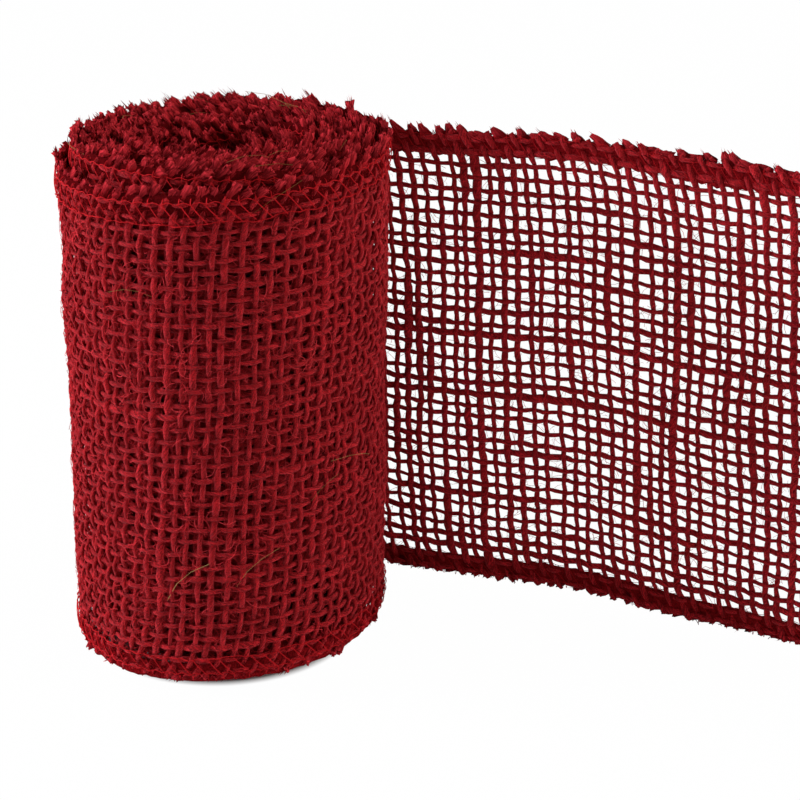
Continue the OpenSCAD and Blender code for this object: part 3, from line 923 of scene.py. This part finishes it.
def outer_points():
    """The outer turn and the tail, with spare path at both ends, and the number of points up to the tail."""
    points = []
    step = 2.0
    angle = -LEAD_ANGLE
    while angle <= 360.0:
        r = OUTER_START_R + OUTER_PITCH * angle / 360
        phi = math.radians(LEAVE_ANGLE - angle)
        points.append((r * math.cos(phi), r * math.sin(phi), SLANT * (1 + math.cos(phi))))
        angle += step
    turn = len(points)
    x, y, z_leave = points[-1]
    climb = OUTER_PITCH / (2 * math.pi)
    leave = math.radians(LEAVE_ANGLE - angle + step)
    heading = leave - math.pi / 2 + math.atan2(climb, math.hypot(x, y))
    gone = 0.0
    for length, bend in TAIL + ((LEAD, 0),):
        steps = round(length)
        for _ in range(steps):
            heading += math.radians(bend) / steps / 2
            x += math.cos(heading) * length / steps
            y += math.sin(heading) * length / steps
            heading += math.radians(bend) / steps / 2
            gone += length / steps
            points.append((x, y, swayed(gone, ((0.0, z_leave), *TAIL_SWAY))))
    return points, turn


def swayed(place, heights):
    """The height at a place along the tail, eased from one given height to the next."""
    for (start, low), (end, high) in zip(heights, heights[1:]):
        if place <= end:
            share = (place - start) / (end - start)
            return low + (high - low) * share * share * (3 - 2 * share)
    return heights[-1][1]


def winding_points():
    """The inner turns, from the core out, at uneven heights, and their inward lean at each point."""
    points = []
    leans = []
    step = 3.0
    total = 360.0 * WOUND_TURNS
    angle = -WINDING_LEAD_ANGLE
    while angle <= total + WINDING_LEAD_ANGLE:
        r = WOUND_START_R + WOUND_PITCH * angle / 360
        phi = math.radians(LEAVE_ANGLE - angle)
        share = max(0.0, angle / total)
        z = WOUND_LIFT[0] + (WOUND_LIFT[1] - WOUND_LIFT[0]) * min(1.0, share / LIFTED_SHARE)
        z += FRONT_LIFT * share * (1 - math.sin(phi)) / 2
        for height, loss, rate, phase in WOUND_WAVES:
            z += (height - loss * share) * math.sin(math.radians(angle) * rate + phase)
        points.append((r * math.cos(phi), r * math.sin(phi), z))
        leans.append(INWARD_LEAN * max(0.0, 1 - share / LEANING_SHARE) ** 2)
        angle += step
    return points, leans


def length_of(points):
    """The length of a path."""
    return sum((Vector(b) - Vector(a)).length for a, b in zip(points, points[1:]))


def point_at(points, distance):
    """The place on a path at this distance along it."""
    for a, b in zip(points, points[1:]):
        step = (Vector(b) - Vector(a)).length
        if distance <= step:
            return Vector(a).lerp(Vector(b), distance / step)
        distance -= step
    return Vector(points[-1])


def path_object(name, points, leans=None):
    """The path as a curve, in metres, for the trees to lay the ribbon on; its tilt is the inward lean."""
    data = bpy.data.curves.new(name, "CURVE")
    data.dimensions = "3D"
    spline = data.splines.new("POLY")
    spline.points.add(len(points) - 1)
    for place, point in zip(spline.points, points):
        place.co = (*(Vector(point) * MM), 1.0)
    spline.points.foreach_set("tilt", leans or [0.0] * len(points))
    path = bpy.data.objects.new(name, data)
    bpy.context.collection.objects.link(path)
    return path


def made(name, tree, path, **sizes):
    """Runs a tree on a path with these inputs and keeps the result as a plain mesh object."""
    modifier = path.modifiers.new(name, "NODES")
    modifier.node_group = tree
    identifiers = {item.name: item.identifier for item in tree.interface.items_tree if item.in_out == "INPUT"}
    for size, value in sizes.items():
        modifier[identifiers[size]] = value
    depsgraph = bpy.context.evaluated_depsgraph_get()
    mesh = bpy.data.meshes.new_from_object(path.evaluated_get(depsgraph))
    path.modifiers.remove(modifier)
    mesh.name = name
    piece = bpy.data.objects.new(name, mesh)
    bpy.context.collection.objects.link(piece)
    return piece


# The ribbon, stretch by stretch

OUTER, OUTER_COUNT = outer_points()
WINDING, LEANS = winding_points()
TURN_END = length_of(OUTER[:OUTER_COUNT])
TAIL_END = TURN_END + sum(length for length, _ in TAIL)
HALF_TURN = LEAD + (TURN_END - LEAD) / 2
outer_path = path_object("outer_path", OUTER)
winding_path = path_object("winding_path", WINDING, LEANS)

# Each stretch of the outer strip: name, start, end, and the tail bend that it crosses
bends = [TURN_END + sum(length for length, _ in TAIL[: k + 1]) for k in range(3)]
cuts = [TURN_END + PAST_LEAVE, (bends[0] + bends[1]) / 2, (bends[1] + bends[2]) / 2, TAIL_END]
STRETCHES = [("outer", LEAD, cuts[0], None)] + [(f"tail_{k + 1}", cuts[k], cuts[k + 1], k) for k in range(3)]


def hang(piece, bend, slot, *nodes):
    """Puts a piece of the outer turn on its body, or leaves a piece of the tail where it lies, in place of
    these nodes.
    """
    if bend is None:
        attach(piece, "outer_turn")
    else:
        start = point_at(OUTER, bends[bend] - BLEND) * MM
        end = point_at(OUTER, bends[bend] + BLEND) * MM
        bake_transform(piece)
    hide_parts(*nodes)


def nodes_of(stretch, kind):
    """The CAD nodes of one kind that a stretch stands for; the last stretch has two of the tail's."""
    if stretch == "outer":
        return [f"outer_{kind}"]
    number = int(stretch[-1])
    return [f"tail_{kind}_{k}" for k in ((number, 4) if number == 3 else (number,))]


# Both edges: heights of the stitching, the outermost warp, and how the tufts point, as shares of their reach
EDGES = {
    "top": dict(
        needle_height=RIBBON_W - OVERLOCK_W,
        chain_height=RIBBON_W - CHAIN_INSET,
        edge_height=RIBBON_W - EDGE_INSET,
        slant=SLANT_ALONG,
        edge_warp=CLOTH["warps"] - 1.0,
        up=1.0,
        along=-1.0,
    ),
    "bottom": dict(
        needle_height=OVERLOCK_W,
        chain_height=CHAIN_INSET,
        edge_height=EDGE_INSET,
        slant=-SLANT_ALONG,
        edge_warp=0.0,
        up=-0.45,
        along=1.0,
    ),
}

# How the roll's edges are finished: tufts, how close the felted fibres lie, how far past the needle line they
# and the felt start, the thread's radius and how far it stands off the cloth, how far the felt stays inside
# the edge, how ragged it is, how light and red its colour is, and whether there are needle stitches
ROLL_EDGE = dict(
    tuft=BRUSH_TUFT,
    fibres_per_mm2=2.0,
    fibres_from=0.0,
    felt_from=1.4,
    thread=THREAD_RADIUS,
    lift=0.85,
    rim=0.0,
    ragged=0.35,
    tone=0.1,
    needle=True,
)
# The tail's edges are flattened and well felted, so that little of their thread shows
TAIL_EDGE = dict(
    tuft=MATTED_TUFT,
    fibres_per_mm2=1.5,
    fibres_from=1.4,
    felt_from=0.0,
    thread=0.06,
    lift=0.4,
    rim=1.2,
    ragged=0.9,
    # The tail's felt is painted lighter than the roll's top felt: painted light where the tail stands in shade
    tone=0.6,
    needle=True,
)
# The lower edges: on the roll the felt is painted lighter and redder, painted light for the light from the
# floor, and the tail's, pressed by standing, has a smoother edge
ROLL_EDGES = dict(top=ROLL_EDGE, bottom=ROLL_EDGE | dict(tone=0.6))
TAIL_EDGES = dict(top=TAIL_EDGE, bottom=TAIL_EDGE | dict(tuft=PRESSED_TUFT, ragged=0.5))
# Inside the roll there are no needle stitches to see, few felted fibres, and few fibres in the lower tufts
WOUND_EDGE = dict(needle=False, fibres_per_mm2=0.4)
WOUND_EDGES = dict(
    top=ROLL_EDGES["top"] | WOUND_EDGE,
    bottom=ROLL_EDGES["bottom"] | WOUND_EDGE | dict(tuft=BRUSH_TUFT | dict(fibres=6)),
)


def edge_pieces(label, edge, path, start, end, finish):
    """The overlock of one edge, by kind: looper threads, needle stitches, felt, fibres on it, and fringe."""
    at = EDGES[edge]
    tuft = finish["tuft"]
    upward = math.copysign(1.0, at["up"])
    span = dict(start=start, end=end)
    heights = {size: at[size] for size in ("needle_height", "chain_height", "edge_height", "slant")}
    sewn = dict(thread_radius=finish["thread"], lift=finish["lift"], material=THREAD)
    pieces = {"loopers": made(f"{label}_{edge}_loopers", OVERLOCK, path, **sewn, **span, **heights)}
    if finish["needle"]:
        name = f"{label}_{edge}_needle_stitches"
        pieces["needle"] = made(name, NEEDLE, path, height=at["needle_height"], **sewn, **span)
    low, high = sorted((at["needle_height"] + upward * finish["fibres_from"], at["chain_height"]))
    fibres = dict(low=low, high=high, per_mm2=finish["fibres_per_mm2"], material=FRAYED)
    pieces["band"] = made(f"{label}_{edge}_felted_band", FUZZ, path, **fibres, **BAND, **span)
    rim = at["edge_height"] - upward * finish["rim"]
    low, high = sorted((at["needle_height"] + upward * finish["felt_from"], rim))
    felt = dict(low=low, high=high, ragged=finish["ragged"], tone=finish["tone"], material=FRAYED)
    pieces["felt"] = made(f"{label}_{edge}_felt", SHEET, path, **felt, **FELT, **span)
    reach = dict(reach_up=tuft["reach_up"] * at["up"], reach_along=tuft["reach_along"] * at["along"])
    fringe = tuft | reach | dict(edge_warp=at["edge_warp"], material=FRAYED)
    pieces["fringe"] = made(f"{label}_{edge}_fringe", FRINGE, path, **fringe, **span)
    return pieces


for stretch, start, end, bend in STRETCHES:
    with_cloth = []
    for edge in EDGES:
        finish = ROLL_EDGES[edge] if bend is None else TAIL_EDGES[edge]
        pieces = edge_pieces(stretch, edge, outer_path, start, end, finish)
        hang(pieces["loopers"], bend, "overlock", *nodes_of(stretch, f"{edge}_overlock"))
        hang(pieces["needle"], bend, "thread", *nodes_of(stretch, f"{edge}_needle_thread"))
        for kind in ("band", "felt", "fringe"):
            hang(pieces[kind], bend, "overlock")
        with_cloth += pieces.values()
    for kind, sizes in (ROLL_HAIRS if bend is None else TAIL_HAIRS).items():
        fuzz = made(f"{stretch}_{kind}", FUZZ, outer_path, start=start, end=end, material=LOOSE, **sizes)
        hang(fuzz, bend, "cloth")
        with_cloth.append(fuzz)

    # The outer turn's weave is in two pieces, to keep each mesh small
    halves = ((start, HALF_TURN), (HALF_TURN, end)) if bend is None else ((start, end),)
    for number, (first, last) in enumerate(halves, 1):
        name = f"{stretch}_weave_{number}" if len(halves) > 1 else f"{stretch}_weave"
        yarns = ROLL_YARNS if bend is None else TAIL_YARNS
        sizes = dict(start=first, end=last, loose_end=WARP_END if last == TAIL_END else 0.0, **yarns)
        weave = made(name, WEAVE, outer_path, material=YARN, **sizes)
        hang(weave, bend, "cloth", *nodes_of(stretch, "cloth"))

# The winding: its outermost turn is woven, and the turns under it are one sheet
lead = WINDING_LEAD_ANGLE / 180 * math.pi
wound_start = lead * WOUND_START_R
wound_end = length_of(WINDING) - lead * (WOUND_START_R + WOUND_PITCH * WOUND_TURNS)
last_turn = wound_end - 2 * math.pi * (WOUND_START_R + WOUND_PITCH * (WOUND_TURNS - 0.5))


def wind(piece, slot, *nodes):
    """Puts a piece on the roll, in place of these nodes."""
    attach(piece, "roll")
    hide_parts(*nodes)


with_cloth = []
for edge in EDGES:
    pieces = edge_pieces("wound", edge, winding_path, wound_start, wound_end, WOUND_EDGES[edge])
    wind(pieces["loopers"], "overlock", f"wound_{edge}_overlock")
    for kind in ("band", "felt", "fringe"):
        wind(pieces[kind], "overlock")
    with_cloth += pieces.values()
for name, start, end, tree, sizes in (
    ("wound_sheet", wound_start, last_turn, SHEET, dict(material=SHADED_DEEP_CLOTH)),
    ("wound_weave", last_turn, wound_end, WEAVE, dict(material=YARN, **WOUND_YARNS)),
):
    cloth = made(name, tree, winding_path, start=start, end=end, **sizes)
    wind(cloth, "cloth", "wound_cloth")

# Stray undyed fibres: some on the front of the outer turn, and some that lie on the top of the winding
STRAY = dict(shortest=6.0, longest=13.0, off_from=0.6, off_to=1.1, thickness=0.008, material=UNDYED)
OUTER_STRAYS = STRAY | dict(low=15.0, high=98.0, per_mm2=0.0005, spin=0.8)
WOUND_STRAYS = STRAY | dict(low=98.5, high=101.0, per_mm2=0.005, spin=0.35)
strays = made("outer_undyed_fibres", FUZZ, outer_path, start=LEAD, end=TURN_END, **OUTER_STRAYS)
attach(strays, "outer_turn")
strays = made("wound_undyed_fibres", FUZZ, winding_path, start=wound_start, end=wound_end, **WOUND_STRAYS)
wind(strays, "cloth")

for path in (outer_path, winding_path):
    bpy.data.objects.remove(path)


# The camera of the photograph, in metres and degrees


def set_camera():
    place = Vector((0.0, -0.39527, 0.21492))
    yaw, pitch, roll = (math.radians(a) for a in (4.916, 22.75, 0.737))
    forward = Vector((math.sin(yaw) * math.cos(pitch), math.cos(yaw) * math.cos(pitch), -math.sin(pitch)))
    right = Vector((math.cos(yaw), -math.sin(yaw), 0.0))
    up = right.cross(forward)
    x_axis = right * math.cos(roll) + up * math.sin(roll)
    y_axis = up * math.cos(roll) - right * math.sin(roll)
    turn = Matrix((x_axis, y_axis, -forward)).transposed()
    data = bpy.data.cameras.new("camera")
    data.sensor_width = 36.0
    data.lens = 96.5
    camera = bpy.data.objects.new("camera", data)
    camera.matrix_world = Matrix.Translation(place) @ turn.to_4x4()
    bpy.context.collection.objects.link(camera)
    bpy.context.scene.camera = camera


def seen_directly(tree):
    """1 for the rays that show the background itself: from the camera, or by way of metal or glass."""
    path = add(tree, "ShaderNodeLightPath", out=None).outputs
    seen = path["Is Camera Ray"]
    for ray in ("Is Glossy Ray", "Is Transmission Ray"):
        seen = add(tree, MATH, seen, path[ray], operation="MAXIMUM")
    return seen


def set_lights():
    """Soft, cool daylight from the left, a weaker and warmer fill from the upper right, and a plain sky."""
    for name, place, size, power, tint in (
        ("key", (-0.93, 0.05, 0.32), 0.4, 17.0, (0.96, 1.0, 1.06)),
        ("fill", (0.9, -0.22, 0.55), 0.7, 8.5, (1.0, 0.97, 0.92)),
    ):
        data = bpy.data.lights.new(name, "AREA")
        data.size = size
        data.energy = power
        data.color = tint
        lamp = bpy.data.objects.new(name, data)
        lamp.location = place
        lamp.rotation_euler = (Vector((0, 0, 0.05)) - Vector(place)).to_track_quat("-Z", "Y").to_euler()
        bpy.context.collection.objects.link(lamp)
    world = bpy.data.worlds.new("sky")
    world.use_nodes = True
    bpy.context.scene.world = world
    t = world.node_tree
    background = t.nodes["Background"]
    background.inputs["Color"].default_value = (1, 1, 1, 1)
    sky_light = 0.22
    strength = add(t, MAP_RANGE, seen_directly(t), 0.0, 1.0, sky_light, 1.0)
    t.links.new(strength, background.inputs["Strength"])


def set_floor():
    """White paper: the camera sees it as plain white, apart from the roll's shadow close round its foot."""
    half = 4.0
    corners = [(-half, -half, 0), (half, -half, 0), (half, half, 0), (-half, half, 0)]
    mesh = bpy.data.meshes.new("floor")
    mesh.from_pydata(corners, [], [(0, 1, 2, 3)])
    floor = bpy.data.objects.new("floor", mesh)
    bpy.context.collection.objects.link(floor)
    material, t, shader = new_material("white_paper", Roughness=0.9)
    shader.inputs["Base Color"].default_value = colour("#dedede")
    glow = add(t, "ShaderNodeEmission", (1, 1, 1, 1), 1.0)
    place = add(t, TEXTURE_PLACE, out="Object")
    # The shadow keeps to the roll's foot, and goes on behind it, where it shows only through the weave
    foot = (-2.5 * MM, 1.6 * MM, 0)
    dark_to = 27.0 * MM
    white_from = 29.2 * MM
    further = 15.0 * MM
    behind = add(t, SEPARATE, place, out="Y")
    behind = add(t, MAP_RANGE, behind, foot[1], foot[1] + further, 0.0, further)
    place = add(t, VECTOR, place, add(t, COMBINE, 0.0, behind, 0.0), operation="SUBTRACT")
    away = add(t, VECTOR, place, foot, operation="DISTANCE", out="Value")
    share = add(t, MAP_RANGE, away, dark_to, white_from, 0.0, 0.99)
    share = add(t, MATH, seen_directly(t), share, operation="MULTIPLY")
    mixed = add(t, "ShaderNodeMixShader", share, shader.outputs[0], glow)
    t.links.new(mixed, t.nodes["Material Output"].inputs["Surface"])
    mesh.materials.append(material)


set_camera()
set_lights()
set_floor()
bpy.context.scene.view_settings.view_transform = "Standard"

bpy.context.view_layer.update()
